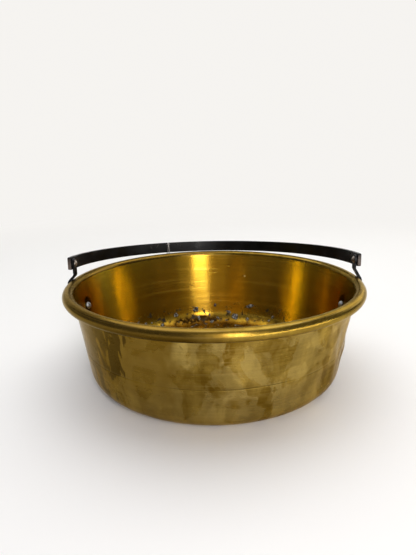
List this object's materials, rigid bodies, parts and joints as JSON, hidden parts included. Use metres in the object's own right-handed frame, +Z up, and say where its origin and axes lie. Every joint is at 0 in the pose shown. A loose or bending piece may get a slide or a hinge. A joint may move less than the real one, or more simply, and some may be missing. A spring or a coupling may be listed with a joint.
{
  "type": "preserving pan with bail handle",
  "caption": "Wide spun-brass pan with a wire-filled rolled rim and a flat iron bail that swings on two riveted ears.",
  "frame": {"origin": "on the pan's axis, at the underside of its base", "axes": "+Z up, out of the mouth; +X along the line of the two pivots; +Y to the back, where the bail lies at rest"},
  "size_m": [0.3048, 0.3, 0.1198],
  "materials": {
    "brass": "worn, tarnished",
    "wire_iron": "drawn wire",
    "black_iron": "black paint, worn",
    "rivet_iron": "worn",
    "thread": "matte"
  },
  "bodies": {
    "bowl": {"pan": "brass", "rim_wire": "wire_iron", "left_ear": "black_iron", "right_ear": "black_iron", "left_upper_rivet": "rivet_iron", "left_lower_rivet": "rivet_iron", "right_upper_rivet": "rivet_iron", "right_lower_rivet": "rivet_iron", "left_pivot_rivet": "rivet_iron", "right_pivot_rivet": "rivet_iron"},
    "handle": {"bail": "black_iron", "tie_thread": "thread"}
  },
  "joints": [
    {"name": "bail_swing", "type": "hinge", "parent": "bowl", "child": "handle", "pos_m": [0, 0, 0.113], "axis": [1, 0, 0], "range_deg": [0, 188.04]}
  ]
}
